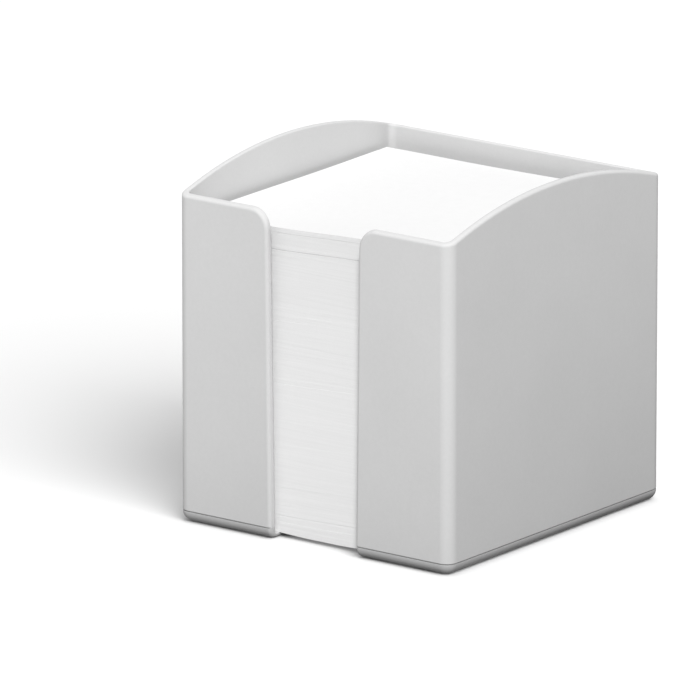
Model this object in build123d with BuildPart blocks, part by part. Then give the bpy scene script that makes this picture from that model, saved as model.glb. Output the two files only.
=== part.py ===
"""Open memo box for loose square note sheets: one moulded shell and the stack of sheets that fills it.

Millimetres, +Z up. The origin is under the middle of the box, on the surface it stands on.
The front wall, with its finger slot, faces -Y, and +X is the right-hand side seen from the front.
"""
from build123d import *
import math
import os

# Sheets: a standard square note sheet, and the room round the stack at the floor
sheet_width = 90.0
sheet_depth = 90.0
sheet_thickness = 0.1137
side_clearance = 1.5
front_clearance = 3.0
back_clearance = 4.1

# Loose packets from the floor up: the share of the stack's sheets in each, and how far it lies out of place,
# sideways as a share of the side clearance and lengthways as a share of the front clearance
packet_shares = (
    (0.0590, 0.06, -0.38),
    (0.0925, -0.12, -0.39),
    (0.1425, 0.10, -0.42),
    (0.1175, -0.05, -0.44),
    (0.0810, 0.14, -0.44),
    (0.1250, -0.10, -0.43),
    (0.0810, 0.04, -0.40),
    (0.0890, -0.14, -0.35),
    (0.1400, 0.08, -0.29),
    (0.0565, -0.06, -0.22),
    (0.0150, 0.12, -0.20),
)
top_sheet_shift_shares = (0.20, -0.19)

# Shell: walls and floor. The back wall is thicker than the others
wall_at_rim = 2.0
wall_at_floor = 2.5
back_wall_extra = 1.4
floor_thickness = 1.6
upright_radius = 3.5
inner_upright_radius = 1.4
inner_floor_radius = 0.6

# Rim: the side walls rise to an arch, whose ends run straight over the front and back walls.
# The stack ends below the crown of the arch by the headroom
crown_height = 106.25
crown_headroom = 13.65
arch_radius = 162.0
outer_rim_radius = 1.0
inner_rim_radius = 0.5

# Foot: the rounded lower edge, with a fine groove where it meets the walls
foot_radius = 3.28
groove_height = 0.4
groove_depth = 0.45

# Finger slot: open at the top, a little narrower below, and carried on into the floor
slot_width_at_rim = 32.9
slot_width_at_foot = 30.7
slot_corner_radius = 5.9
notch_depth = 16.0
notch_corner_radius = 6.0

# A rounded edge takes up at most this share of the wall's thickness, outside and inside, of the panel that
# carries it, of the corner that it runs round, or of the room beside the sheets
outer_rounding_share = 0.63
inner_rounding_share = 0.32
panel_rounding_share = 0.4
corner_rounding_share = 0.97
clearance_rounding_share = 0.5
# Cuts run past the faces that they open by this much
overrun = 5.0

# Sizes that follow
box_width = sheet_width + 2 * (side_clearance + wall_at_floor)
box_depth = sheet_depth + front_clearance + back_clearance + 2 * wall_at_floor + back_wall_extra
front_face = -box_depth / 2
back_face = box_depth / 2
sheets_in_stack = (crown_height - floor_thickness - crown_headroom) / sheet_thickness
wall_draft = math.degrees(math.atan2(wall_at_floor - wall_at_rim, crown_height - floor_thickness))

# The arch: where its straight ends begin, how steep they are, and where they meet the front face
arch_half_span = back_face - upright_radius - wall_at_rim - back_wall_extra
arch_end_slope = arch_half_span / math.sqrt(arch_radius**2 - arch_half_span**2)
arch_end_height = crown_height - arch_radius + math.sqrt(arch_radius**2 - arch_half_span**2)
rim_height = arch_end_height - arch_end_slope * (back_face - arch_half_span)
rim_inner_height = rim_height + arch_end_slope * wall_at_rim
back_inner_face = back_face - wall_at_rim - back_wall_extra
back_inner_height = rim_height + arch_end_slope * (wall_at_rim + back_wall_extra)

# Roundings, limited by what carries them
foot_rounding = min(foot_radius, corner_rounding_share * upright_radius)
floor_rounding = min(inner_floor_radius, clearance_rounding_share * min(side_clearance, front_clearance))
outer_rounding = min(outer_rim_radius, outer_rounding_share * min(wall_at_rim, floor_thickness))
inner_rounding = min(inner_rim_radius, inner_rounding_share * min(wall_at_rim, floor_thickness))
slot_rounding = min(slot_corner_radius, panel_rounding_share * (box_width - slot_width_at_rim) / 2)
notch_rounding = min(notch_corner_radius, panel_rounding_share * slot_width_at_foot)

os.makedirs("parts", exist_ok=True)

# Box: one moulding, with its floor, four walls, arched sides, finger slot and rounded edges
with BuildPart() as box:
    # Outside, with the rounded foot
    with BuildSketch(Plane.XY):
        RectangleRounded(box_width, box_depth, upright_radius)
    extrude(amount=crown_height + overrun)
    fillet(faces().sort_by(Axis.Z)[0].edges(), radius=foot_rounding)

    # Compartment, a little wider at the top so that the moulding leaves its tool
    with BuildSketch(Plane.XY.offset(floor_thickness)):
        with Locations((0, -back_wall_extra / 2)):
            RectangleRounded(
                box_width - 2 * wall_at_floor,
                box_depth - 2 * wall_at_floor - back_wall_extra,
                inner_upright_radius,
            )
    extrude(amount=crown_height + 2 * overrun - floor_thickness, taper=-wall_draft, mode=Mode.SUBTRACT)
    compartment_floor = faces().filter_by(Plane.XY).sort_by_distance((0, 0, floor_thickness))[0]
    fillet(compartment_floor.edges(), radius=floor_rounding)

    # Arched top, cut across the whole width
    with BuildSketch(Plane.YZ):
        with BuildLine():
            front_end = (-arch_half_span, arch_end_height)
            back_end = (arch_half_span, arch_end_height)
            reach = back_face + overrun
            reach_height = rim_height - arch_end_slope * overrun
            top = crown_height + 2 * overrun
            ThreePointArc(front_end, (0, crown_height), back_end)
            Polyline(
                back_end,
                (reach, reach_height),
                (reach, top),
                (-reach, top),
                (-reach, reach_height),
                front_end,
            )
        make_face()
    extrude(amount=box_width, both=True, mode=Mode.SUBTRACT)

    # Finger slot through the front wall and on into the floor
    with BuildSketch(Plane.XZ.offset(overrun - front_face)):
        with BuildLine():
            slot_growth = (slot_width_at_rim - slot_width_at_foot) / rim_height
            half_width_below = (slot_width_at_foot - slot_growth * overrun) / 2
            half_width_above = (slot_width_at_rim + slot_growth * overrun) / 2
            Polyline(
                (-half_width_below, -overrun),
                (half_width_below, -overrun),
                (half_width_above, rim_height + overrun),
                (-half_width_above, rim_height + overrun),
                close=True,
            )
        make_face()
    extrude(amount=-(overrun + notch_depth), mode=Mode.SUBTRACT)
    notch_end = faces().filter_by(Plane.XZ).sort_by_distance((0, front_face + notch_depth, 0))[0]
    fillet(notch_end.edges().filter_by(Axis.X, reverse=True), radius=notch_rounding)

    # Rounded upper corners of the slot
    rim_middle = (front_face + wall_at_rim / 2, (rim_height + rim_inner_height) / 2)
    left_corner = edges().sort_by_distance((-half_width_above, *rim_middle))[0]
    right_corner = edges().sort_by_distance((half_width_above, *rim_middle))[0]
    fillet([left_corner, right_corner], radius=slot_rounding)

    # Outer and inner rim edges: both run on round the slot and the notch in the floor
    fillet(edges().sort_by_distance((0, back_face, rim_height))[0], radius=outer_rounding)
    fillet(edges().sort_by_distance((0, back_inner_face, back_inner_height))[0], radius=inner_rounding)

    # Fine groove where the rounded foot meets the walls
    with BuildSketch(Plane.XY.offset(foot_rounding)):
        Rectangle(box_width + 2 * overrun, box_depth + 2 * overrun)
        RectangleRounded(
            box_width - 2 * groove_depth,
            box_depth - 2 * groove_depth,
            upright_radius - groove_depth,
            mode=Mode.SUBTRACT,
        )
    extrude(amount=groove_height, mode=Mode.SUBTRACT)

box.part.label = "box"
export_step(box.part, "parts/box.step")


def lay_sheets(name, level, count, side_share, front_share):
    """Writes a packet of loose sheets that lies on the given level, and returns the level of its top."""
    along_x = side_share * side_clearance
    along_y = front_share * front_clearance + (front_clearance - back_clearance - back_wall_extra) / 2
    with BuildPart() as packet:
        with BuildSketch(Plane.XY.offset(level)):
            with Locations((along_x, along_y)):
                Rectangle(sheet_width, sheet_depth)
        extrude(amount=count * sheet_thickness)
    packet.part.label = name
    export_step(packet.part, f"parts/{name}.step")
    return level + count * sheet_thickness


# Stack: packets of loose sheets from the floor up, and the single sheet on top
stack_top = floor_thickness
for number, (sheet_share, *shift_shares) in enumerate(packet_shares, start=1):
    count = round(sheet_share * sheets_in_stack)
    stack_top = lay_sheets(f"sheet_packet_{number:02d}", stack_top, count, *shift_shares)
stack_top = lay_sheets("top_sheet", stack_top, 1, *top_sheet_shift_shares)

print(f"box {box_width:.2f} x {box_depth:.2f} x {crown_height:.2f}")
print(f"front rim at {rim_height:.2f}, top of the stack at {stack_top:.2f}")
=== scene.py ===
# %% [markdown]
# The object is an open desk box, moulded in one piece of light grey plastic and filled with some
# eight hundred loose white note sheets. The CAD model already holds every real size, so the lesson
# starts by loading it as a fixed frame: each CAD node arrives as an object in metres, standing where
# it stands on the desk. Rebuilding the box by hand in Blender would be the other way, but then the
# looks and the mechanism could drift apart.

# %% Load the imported model
import math
import random

import bmesh
import bpy
import numpy as np
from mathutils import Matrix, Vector


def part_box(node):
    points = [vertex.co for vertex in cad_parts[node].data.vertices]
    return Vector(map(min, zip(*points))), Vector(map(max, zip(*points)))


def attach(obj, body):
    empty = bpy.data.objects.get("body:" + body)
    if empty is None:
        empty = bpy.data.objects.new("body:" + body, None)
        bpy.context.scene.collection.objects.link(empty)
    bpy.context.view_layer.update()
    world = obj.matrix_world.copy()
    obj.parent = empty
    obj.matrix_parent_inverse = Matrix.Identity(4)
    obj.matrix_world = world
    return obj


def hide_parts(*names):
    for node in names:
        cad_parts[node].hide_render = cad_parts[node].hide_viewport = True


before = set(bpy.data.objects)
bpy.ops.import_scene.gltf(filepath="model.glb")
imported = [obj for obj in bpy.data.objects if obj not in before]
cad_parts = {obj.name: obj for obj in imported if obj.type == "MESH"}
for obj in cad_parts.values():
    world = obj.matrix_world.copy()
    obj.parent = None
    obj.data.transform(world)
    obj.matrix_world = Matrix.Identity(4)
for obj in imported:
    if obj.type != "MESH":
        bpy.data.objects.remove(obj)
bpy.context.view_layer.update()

mm = 0.001
print("nodes:", ", ".join(sorted(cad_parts)))

# %% [markdown]
# ## The camera
# A product photograph of a small thing is usually taken from a few metres away with a long lens, so
# upright edges stay nearly parallel. The camera here was fitted to the straight edges of the box: it
# stands 37 degrees to the right of the front and 15 degrees above the desk. It could be placed by
# eye, but a point to look at, two angles and a distance say the same thing in numbers that can be
# checked and changed.

# %% Stand the camera where the photograph was taken
picture_pixels = 700
sensor_width_mm = 36.0
focal_length_pixels = 12955.0
camera_azimuth = math.radians(37.081)
camera_elevation = math.radians(15.316)
camera_distance = 3773.7 * mm
farthest_seen = 100.0
look_at = Vector((-25.61, 0.0, 43.93)) * mm

towards_camera = Vector((
    math.sin(camera_azimuth) * math.cos(camera_elevation),
    -math.cos(camera_azimuth) * math.cos(camera_elevation),
    math.sin(camera_elevation),
))
camera_data = bpy.data.cameras.new("photo_camera")
camera_data.sensor_width = sensor_width_mm
camera_data.lens = focal_length_pixels * sensor_width_mm / picture_pixels
camera_data.clip_end = farthest_seen
camera = bpy.data.objects.new("photo_camera", camera_data)
camera.location = look_at + camera_distance * towards_camera
camera.rotation_euler = towards_camera.to_track_quat("Z", "Y").to_euler()
bpy.context.scene.collection.objects.link(camera)
bpy.context.scene.camera = camera
bpy.context.scene.view_settings.view_transform = "Standard"
print(f"camera {camera_distance:.2f} m away with a {camera_data.lens:.0f} mm lens")

# %% [markdown]
# ## A small toolbox for materials
# Every finish below is a little network of shader nodes: patterns that are worked out in space, with
# no pictures. It could be wired by hand in the shader editor, but with a few helpers each recipe
# reads as a short list of steps. The first helpers start a finish, feed an input and add a node. The
# others do what recipes need most: a sum, a change of range, a mix, a cloudy pattern and a grey.

# %% Helpers that start a finish and wire its nodes
def new_finish(name):
    """A material with an empty recipe that ends in a Principled shader."""
    finish = bpy.data.materials.new(name)
    finish.use_nodes = True
    return finish, finish.node_tree, finish.node_tree.nodes["Principled BSDF"]


def feed(tree, socket, value):
    """Gives an input a constant, or the output of another node."""
    if isinstance(value, bpy.types.NodeSocket):
        tree.links.new(value, socket)
    else:
        socket.default_value = value


def add_node(tree, kind, **inputs):
    """A node with its inputs fed by name. A space in an input's name is written as _."""
    node = tree.nodes.new(kind)
    for name, value in inputs.items():
        feed(tree, node.inputs[name.replace("_", " ")], value)
    return node


print("wiring helpers ready")

# %% Helpers for the steps of a recipe
def calculate(tree, operation, *terms):
    """One step of arithmetic with numbers or the outputs of other nodes."""
    node = tree.nodes.new("ShaderNodeMath")
    node.operation = operation
    for socket, term in zip(node.inputs, terms):
        feed(tree, socket, term)
    return node.outputs["Value"]


def spread(tree, source, low, high, start=0.0, stop=1.0):
    """A pattern's values between start and stop, stretched to run from low to high."""
    node = add_node(
        tree, "ShaderNodeMapRange", Value=source,
        From_Min=start, From_Max=stop, To_Min=low, To_Max=high,
    )
    return node.outputs["Result"]


def mix(tree, share, first, second):
    """The first value where share is 0, the second where it is 1, and something between elsewhere."""
    node = tree.nodes.new("ShaderNodeMix")
    # A mix of plain values uses these of the node's inputs, which share their names with others
    for number, value in ((0, share), (2, first), (3, second)):
        feed(tree, node.inputs[number], value)
    return node.outputs[0]


def pattern(tree, coordinates, size, detail=3.0, stretch=(1.0, 1.0, 1.0)):
    """A cloudy noise with spots of about that size, drawn out along an axis where stretch is small."""
    mapping = add_node(tree, "ShaderNodeMapping", Vector=coordinates, Scale=stretch)
    noise = add_node(
        tree, "ShaderNodeTexNoise", Vector=mapping.outputs["Vector"], Scale=1.0 / size, Detail=detail,
    )
    return noise.outputs["Fac"]


def grey(tree, source):
    """A neutral colour from one value."""
    node = add_node(tree, "ShaderNodeCombineColor", Red=source, Green=source, Blue=source)
    return node.outputs["Color"]


print("recipe helpers ready")

# %% [markdown]
# ## Satin moulded plastic
# The box is a styrene-like moulding in a neutral light grey. Such a surface copies its steel tool: a
# very fine, soft grain that breaks up the gloss, slow clouds in the tone where the melt flowed, and a
# few faint rubs near the desk, where boxes get pushed about. The rounded foot, below its fine groove,
# is painted a shade darker than the walls, as painted shade where it turns down towards the desk. A
# flat grey with one gloss value would look like a drawing, so the grain goes into the bump, the clouds
# and the painted foot shade into the colour, and the rubs into the roughness.

# %% Mix the plastic's grey
# Noise keeps near the middle of its values, so only these are stretched
noise_range = (0.3, 0.7)
plastic_greys = (0.612, 0.632)
speck_strength = 0.006
# Painted shade: below its groove, the foot's grey is painted this much darker
painted_shade_factor_on_foot = 0.84
foot_top, wall_foot = 3.4 * mm, 3.6 * mm

plastic, tree, shader = new_finish("satin_grey_plastic")
place = tree.nodes.new("ShaderNodeTexCoord").outputs["Object"]
height = add_node(tree, "ShaderNodeSeparateXYZ", Vector=place).outputs["Z"]
flow_clouds = spread(tree, pattern(tree, place, 30 * mm, detail=4.0), *plastic_greys, *noise_range)
fine_specks = spread(
    tree, pattern(tree, place, 0.9 * mm, detail=2.0), -speck_strength, speck_strength, *noise_range,
)
# Painted shade on the foot below the groove, fading out just above it
painted_shade_on_foot = spread(tree, height, painted_shade_factor_on_foot, 1.0, foot_top, wall_foot)
tone = calculate(tree, "MULTIPLY", calculate(tree, "ADD", flow_clouds, fine_specks), painted_shade_on_foot)
feed(tree, shader.inputs["Base Color"], grey(tree, tone))
print("plastic grey:", len(tree.nodes), "nodes")

# %% Give the plastic its gloss, rubs and grain
gloss_range = (0.50, 0.60)
rubbed_height = 30 * mm
rub_range = (0.55, 0.75)
rub_dullness = 0.12

near_desk = spread(tree, height, 1.0, 0.0, 0.0, rubbed_height)
rub_noise = pattern(tree, place, 6 * mm, detail=6.0, stretch=(1.0, 1.0, 4.0))
rubs = calculate(tree, "MULTIPLY", near_desk, spread(tree, rub_noise, 0.0, 1.0, *rub_range))
gloss_clouds = spread(tree, pattern(tree, place, 9 * mm), *gloss_range, *noise_range)
roughness = calculate(tree, "MULTIPLY_ADD", rubs, rub_dullness, gloss_clouds)
feed(tree, shader.inputs["Roughness"], roughness)

tool_grain = pattern(tree, place, 0.28 * mm, detail=2.0)
grain_bump = add_node(tree, "ShaderNodeBump", Height=tool_grain, Strength=0.10, Distance=0.02 * mm)
feed(tree, shader.inputs["Normal"], grain_bump.outputs["Normal"])
shader.inputs["IOR"].default_value = 1.5
shader.inputs["Specular IOR Level"].default_value = 0.08
print("plastic:", len(tree.nodes), "nodes")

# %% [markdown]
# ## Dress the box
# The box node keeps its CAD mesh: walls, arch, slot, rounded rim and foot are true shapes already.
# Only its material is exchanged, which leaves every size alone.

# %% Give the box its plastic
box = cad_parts["box"]
box.data.materials.clear()
box.data.materials.append(plastic)
print("box:", len(box.data.vertices), "vertices keep their places")

# %% [markdown]
# ## Uncoated writing paper
# A sheet of note paper is a mat of fibres: nearly white, quite dull, and faintly cloudy when it is
# held to the light. Cut edges look different from the face, because each shows as a hair-thin line a
# little lighter or darker than the next. The edges are also painted greyer than the face, as painted
# shade between the sheets, with painted light near the floor of the box and more painted shade
# towards the top of the stack. The material tells a face from an edge by which way the surface
# points, then lays clouds on the one and lines and painted shade on the other.

# %% Mix the paper's white
face_whites = (0.893, 0.907)
# Painted shade on the cut edges: their grey at the floor of the box, and at the top of the stack
painted_edge_greys = (0.895, 0.765)
stack_top = 92 * mm
line_strength = 0.022
# Two patterns are added up for the lines, so their values run twice as far
line_range = [2 * end for end in noise_range]

paper, tree, shader = new_finish("white_note_paper")
place = tree.nodes.new("ShaderNodeTexCoord").outputs["Object"]
facing = tree.nodes.new("ShaderNodeNewGeometry").outputs["Normal"]
upward = add_node(tree, "ShaderNodeSeparateXYZ", Vector=facing).outputs["Z"]
fibre_clouds = pattern(tree, place, 2.5 * mm, detail=5.0)
face_tone = spread(tree, fibre_clouds, *face_whites, *noise_range)

thin_lines = pattern(tree, place, 0.30 * mm, detail=1.0, stretch=(0.008, 0.008, 1.0))
wide_lines = pattern(tree, place, 0.65 * mm, detail=2.0, stretch=(0.012, 0.012, 1.0))
both_lines = calculate(tree, "ADD", thin_lines, wide_lines)
edge_lines = spread(tree, both_lines, -line_strength, line_strength, *line_range)
height = add_node(tree, "ShaderNodeSeparateXYZ", Vector=place).outputs["Z"]
# Painted light and shade on the cut edges: lighter near the floor of the box, darker towards the top
painted_light_and_shade_by_height = spread(tree, height, *painted_edge_greys, 0.0, stack_top)
edge_colour_with_painted_shade = calculate(tree, "ADD", painted_light_and_shade_by_height, edge_lines)
tone = mix(tree, calculate(tree, "ABSOLUTE", upward), edge_colour_with_painted_shade, face_tone)
feed(tree, shader.inputs["Base Color"], grey(tree, tone))
print("paper white:", len(tree.nodes), "nodes")

# %% Give the paper its dull, fibrous surface
paper_roughness = (0.78, 0.9)

fibres = pattern(tree, place, 0.35 * mm, detail=4.0)
fibre_bump = add_node(tree, "ShaderNodeBump", Height=fibres, Strength=0.12, Distance=0.03 * mm)
feed(tree, shader.inputs["Normal"], fibre_bump.outputs["Normal"])
roughness = spread(tree, fibre_clouds, *paper_roughness, *noise_range)
feed(tree, shader.inputs["Roughness"], roughness)
shader.inputs["Specular IOR Level"].default_value = 0.25
print("paper:", len(tree.nodes), "nodes")

# %% [markdown]
# ## How a loose stack settles
# Eight hundred sheets never lie dead flat. The pile sinks a little in one place and swells in another,
# and every sheet above follows. One height field for the whole stack does this: it gives the lift of
# any point, grows quickly over the lowest sheets and then stays the same. Where the finger slot runs
# on into the floor, the lowest sheets lie on nothing and hang down by a fraction of a millimetre. As
# all sheets share the field, none can pass through the next.

# %% The settling of the pile
floor_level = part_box("sheet_packet_01")[0][2]
settling_depth = 4.5 * mm
# Soft hollows and swells in plan: middle x, middle y, radius and height, in mm
hollows = (
    (-20.0, -50.0, 17.0, -0.75),
    (18.0, -50.0, 16.0, 0.55),
    (30.0, 30.0, 30.0, 0.35),
    (-42.0, 46.0, 18.0, 0.55),
)
general_lift = 0.42 * mm
lift_towards_right = 0.008
# Over the notch in the floor the lowest sheets hang down a little: how much, and how far it reaches
# from the notch's middle across, along and up
notch_sag = 0.42 * mm
notch_y_mm = -47.0
notch_reach_mm = (14.0, 9.0, 7.0)


def settle(point):
    """Where a point of the ideal, flat stack comes to lie in the loose one."""
    x, y, z = point
    lift = general_lift + lift_towards_right * x
    for middle_x, middle_y, radius, rise in hollows:
        distance_squared = (x / mm - middle_x)**2 + (y / mm - middle_y)**2
        lift += rise * mm * math.exp(-distance_squared / (2 * radius**2))
    grown = 1.0 - math.exp(-(z - floor_level) / settling_depth)
    across, along, up = notch_reach_mm
    # The sixth power keeps the sag even across the notch, and ends it sharply at the sides
    sideways, lengthways = (x / mm / across)**6, ((y / mm - notch_y_mm) / along)**2
    from_notch = sideways + lengthways + (z - floor_level) / mm / up
    return Vector((x, y, z + lift * grown - notch_sag * math.exp(-from_notch)))


for side, x_mm in (("left", -17), ("right", 14)):
    lifted = settle((x_mm * mm, notch_y_mm * mm, stack_top)).z - stack_top
    print(f"lift at the {side} of the slot: {lifted / mm:.2f} mm")

# %% [markdown]
# ## Sheets, one by one
# Each packet of the CAD model stands for dozens of sheets. Here every sheet gets its own outline: a
# square that lies a hair out of place, mostly together with a few neighbours, because sheets are put
# in by handfuls. One smooth block with painted lines would be quicker, but its corners would be too
# straight, and light would not catch on single sheets.

# %% Helpers that lay sheets
sheet_pitch = 0.1137 * mm
steps_per_side = 14
ring_size = 4 * steps_per_side
chance = random.Random(7)
# Usual and largest place errors in mm, and turns in radians
handful_error = (0.009, 0.08)
handful_turn = (0.0002, 0.0006)
sheet_error = (0.003, 0.02)
sheets_in_handful = (3, 11)


def sheet_outline(middle_x, middle_y, half_side, turn):
    """Points round a square sheet in plan, anticlockwise from its front left corner."""
    corners = [(-1, -1), (1, -1), (1, 1), (-1, 1)]
    outline = []
    for (x0, y0), (x1, y1) in zip(corners, corners[1:] + corners[:1]):
        for step in range(steps_per_side):
            share = step / steps_per_side
            x = half_side * (x0 + (x1 - x0) * share)
            y = half_side * (y0 + (y1 - y0) * share)
            outline.append((middle_x + x - turn * y, middle_y + y + turn * x))
    return outline


def stray(usual, largest):
    """A chance error of about the usual size, and never beyond the largest."""
    return max(-largest, min(largest, chance.gauss(0.0, usual)))


def handfuls(count):
    """Each sheet's place error, most of it shared by a handful: sideways, lengthways and turn."""
    places = []
    while len(places) < count:
        shared_x, shared_y = [stray(*handful_error) * mm for _ in range(2)]
        shared_turn = stray(*handful_turn)
        for _ in range(chance.randint(*sheets_in_handful)):
            own_x, own_y = [stray(*sheet_error) * mm for _ in range(2)]
            places.append((shared_x + own_x, shared_y + own_y, shared_turn))
    return places[:count]


print("sheet helpers ready:", ring_size, "points round each sheet")

# %% [markdown]
# ## A skin for each packet
# The outlines of a packet are stacked as rings and joined into one closed skin, with a gridded cap
# below and above that can follow the waves of the pile. The skin is shaded smooth, and every fold
# sharper than thirty degrees is marked as crisp, so that a broad face stays soft up to its cut edge.
# Eight hundred loose slabs would also work, but would hide twice as many faces inside the pile as
# anyone could see.

# %% Helpers that skin a packet
crisp_fold = math.radians(30)


def band_faces(below, above):
    """Faces between two rings, which are given by their first points."""
    following = [(k + 1) % ring_size for k in range(ring_size)]
    return [(below + k, below + f, above + f, above + k) for k, f in enumerate(following)]


def cap_faces(points, outline, level, ring):
    """Adds the inner points of a gridded cap inside a ring, and gives the cap's faces, facing up."""
    n = steps_per_side
    left_front, right_front, left_back = (Vector(outline[k]) for k in (0, n, 3 * n))
    grid = {}
    for i in range(n + 1):
        grid[i, 0] = ring + i
        grid[n, i] = ring + n + i
        grid[n - i, n] = ring + 2 * n + i
        grid[0, n - i] = ring + (3 * n + i) % ring_size
    for i in range(1, n):
        for j in range(1, n):
            x, y = left_front + (right_front - left_front) * i / n + (left_back - left_front) * j / n
            grid[i, j] = len(points)
            points.append(settle((x, y, level)))
    return [
        (grid[i, j], grid[i + 1, j], grid[i + 1, j + 1], grid[i, j + 1])
        for i in range(n) for j in range(n)
    ]


def skin_packet(name, outlines, bottom):
    """One closed mesh round a pile of sheet outlines, with a gridded cap at both ends."""
    points, faces = [], []
    for number, outline in enumerate(outlines):
        for level in (bottom + number * sheet_pitch, bottom + (number + 1) * sheet_pitch):
            ring = len(points)
            points += [settle((x, y, level)) for x, y in outline]
            if ring:
                faces += band_faces(ring - ring_size, ring)
    faces += [face[::-1] for face in cap_faces(points, outlines[0], bottom, 0)]
    faces += cap_faces(points, outlines[-1], bottom + len(outlines) * sheet_pitch, ring)
    mesh = bpy.data.meshes.new(name)
    mesh.from_pydata(points, [], faces)
    mesh.materials.append(paper)
    mesh.shade_smooth()
    mesh.set_sharp_from_angle(angle=crisp_fold)
    return mesh


print("packet skin ready")

# %% [markdown]
# ## The stack
# Packet by packet, the sheets are laid between the lowest and the highest level of their CAD node.
# Where two packets meet, the photographed stack shows a fine shadow line: the lowest sheet or two of
# the packet above lie further back. Each finished pile replaces its plain CAD block, rides on the
# same body, and so lifts out just as the block does.

# %% Lay every packet
packets = sorted(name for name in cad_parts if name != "box")
middles = [[(low + high) / 2 for low, high in zip(*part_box(name))] for name in packets]
leans = [middle[1] for middle in middles]
levels = [middle[2] for middle in middles]
# Sheets at the bottom of a packet that lie back, and by how much in mm
faint_line = (1, 0.04)
set_back = {
    "sheet_packet_01": (0, 0.0),
    "sheet_packet_02": (1, 0.08),
    "sheet_packet_03": (1, 0.08),
    "sheet_packet_10": (2, 0.22),
    "sheet_packet_11": (1, 0.13),
    "top_sheet": (0, 0.0),
}
sheets_laid = 0
for name in packets:
    low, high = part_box(name)
    count = round((high[2] - low[2]) / sheet_pitch)
    half_side = (high[0] - low[0]) / 2
    back_count, back_by = set_back.get(name, faint_line)
    outlines = []
    for number, (sideways, lengthways, turn) in enumerate(handfuls(count)):
        lean = np.interp(low[2] + number * sheet_pitch, levels, leans)
        shift_back = back_by * mm if number < back_count else 0.0
        middle_x = (low[0] + high[0]) / 2 + sideways
        middle_y = lean + lengthways + shift_back
        outlines.append(sheet_outline(middle_x, middle_y, half_side, turn))
    pile = bpy.data.objects.new(f"{name}_sheets", skin_packet(f"{name}_sheets", outlines, low[2]))
    bpy.context.scene.collection.objects.link(pile)
    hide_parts(name)
    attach(pile, name)
    sheets_laid += count
print(sheets_laid, "sheets in", len(packets), "packets")

# %% [markdown]
# ## The studio floor
# The box stands on a plain white floor that runs on out of the picture, so a very large disc will do.
# The camera sees it white. What the floor sends back to the box is another matter: in the photograph
# the walls darken towards the desk, so the disc carries a painted shadow for bounced light only, dark
# under the box and lighter further out. The Light Path node tells the two kinds of ray apart.

# %% Lay the floor
floor_radius = 8.0
# A hair below the box, so that the two surfaces don't fight
floor_drop = 0.02 * mm

floor_mesh = bpy.data.meshes.new("studio_floor")
shape = bmesh.new()
bmesh.ops.create_circle(shape, cap_ends=True, segments=96, radius=floor_radius)
shape.to_mesh(floor_mesh)
shape.free()
floor = bpy.data.objects.new("studio_floor", floor_mesh)
floor.location.z = -floor_drop
bpy.context.scene.collection.objects.link(floor)
print("floor: a disc", 2 * floor_radius, "m across")

# %% Paint the floor
floor_white = 0.92
# Painted shadow for bounced light: from a dark middle under the box to a pale rim, and the distances
# in metres between which it grows
bounce_middle = (0.045, 0.065, 0.0)
bounce_tones = (0.07, 0.70)
bounce_growth = (0.05, 0.40)


def seen_directly(tree):
    """1 where the camera, a reflection or clear glass shows a surface, and 0 for bounced light."""
    ray = tree.nodes.new("ShaderNodeLightPath").outputs
    shown = calculate(tree, "MAXIMUM", ray["Is Camera Ray"], ray["Is Glossy Ray"])
    return calculate(tree, "MAXIMUM", shown, ray["Is Transmission Ray"])


floor_paint, tree, shader = new_finish("white_floor_paint")
away = tree.nodes.new("ShaderNodeVectorMath")
away.operation = "DISTANCE"
feed(tree, away.inputs[0], tree.nodes.new("ShaderNodeTexCoord").outputs["Object"])
feed(tree, away.inputs[1], bounce_middle)
# Painted shadow under the box, seen only by bounced light
bounce = spread(tree, away.outputs["Value"], *bounce_tones, *bounce_growth)
floor_tone = mix(tree, seen_directly(tree), bounce, floor_white)
feed(tree, shader.inputs["Base Color"], grey(tree, floor_tone))
shader.inputs["Roughness"].default_value = 0.9
shader.inputs["Specular IOR Level"].default_value = 0.0
floor_mesh.materials.append(floor_paint)
print("floor paint:", len(tree.nodes), "nodes")

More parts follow.
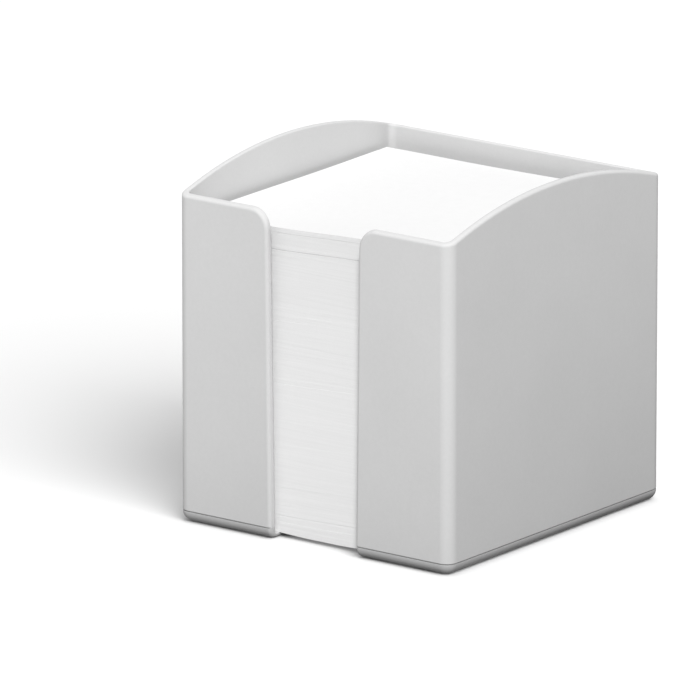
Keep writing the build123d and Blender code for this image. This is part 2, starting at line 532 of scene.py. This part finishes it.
# %% [markdown]
# ## Soft light
# The photograph has studio light without hard shadows: the front wall is a little brighter than the
# side, the rim gleams, and a long soft shade lies on the floor to the left. Sun lamps with a wide
# angle light everything alike, near or far, so other views of the lesson keep the same light. Light
# linking says what each lamp may reach. A key lamp hangs above the camera and lights all but the
# floor. A weak lamp from straight above picks out the rim of the box. The floor has two lamps of its
# own: one low on the right, in whose light the box casts its long shade, and one in the ceiling that
# leaves a soft dark line of contact along the foot. A last lamp shines straight towards the camera,
# right through the floor, which lets it pass. It can only reach what the camera doesn't see, so it
# keeps the far walls from going dull in other views without touching this one.

# %% Hang the lamps
straight_above = (0.0, 0.0, 1.0)


def hang_lamp(name, towards, level, width, piece, only):
    """A far lamp, that many degrees wide, for one piece only or for all but that piece.

    At level 1 it renders a white surface white.
    """
    lamp_data = bpy.data.lights.new(name, "SUN")
    lamp_data.energy = level * math.pi
    lamp_data.angle = math.radians(width)
    lamp = bpy.data.objects.new(name, lamp_data)
    lamp.rotation_euler = Vector(towards).to_track_quat("Z", "Y").to_euler()
    bpy.context.scene.collection.objects.link(lamp)
    lit = bpy.data.collections.new(f"lit_by_{name}")
    lit.objects.link(piece)
    lit.collection_objects[0].light_linking.link_state = "INCLUDE" if only else "EXCLUDE"
    lamp.light_linking.receiver_collection = lit
    return lamp, lit


hang_lamp("key_lamp", (0.432, -0.540, 0.722), level=0.99, width=16, piece=floor, only=False)
hang_lamp("rim_lamp", straight_above, level=0.13, width=60, piece=box, only=True)
hang_lamp("floor_lamp", (0.685, -0.35, 0.64), level=1.03, width=49, piece=floor, only=True)
hang_lamp("ceiling_lamp", straight_above, level=0.13, width=18, piece=floor, only=True)
back_lamp, all_but_floor = hang_lamp(
    "back_lamp", -towards_camera, level=0.62, width=4, piece=floor, only=False,
)
back_lamp.light_linking.blocker_collection = all_but_floor

# %% [markdown]
# ## A pale sky
# In a studio, white walls and a white ceiling fill the shadows. An even sky does the same here: weak
# as a light, so that the lamps still give the box its form, and plain white where it is seen. A tent
# of white cloth could be modelled instead, but would stand in the way of other views.

# %% Spread the sky
sky_light, sky_seen = 0.36, 1.0

sky = bpy.data.worlds.new("white_tent")
sky.use_nodes = True
bpy.context.scene.world = sky
backdrop = sky.node_tree.nodes["Background"]
backdrop.inputs["Color"].default_value = (1.0, 1.0, 1.0, 1.0)
sky_strength = spread(sky.node_tree, seen_directly(sky.node_tree), sky_light, sky_seen)
feed(sky.node_tree, backdrop.inputs["Strength"], sky_strength)
print("sky:", sky_light, "as a light,", sky_seen, "where it is seen")
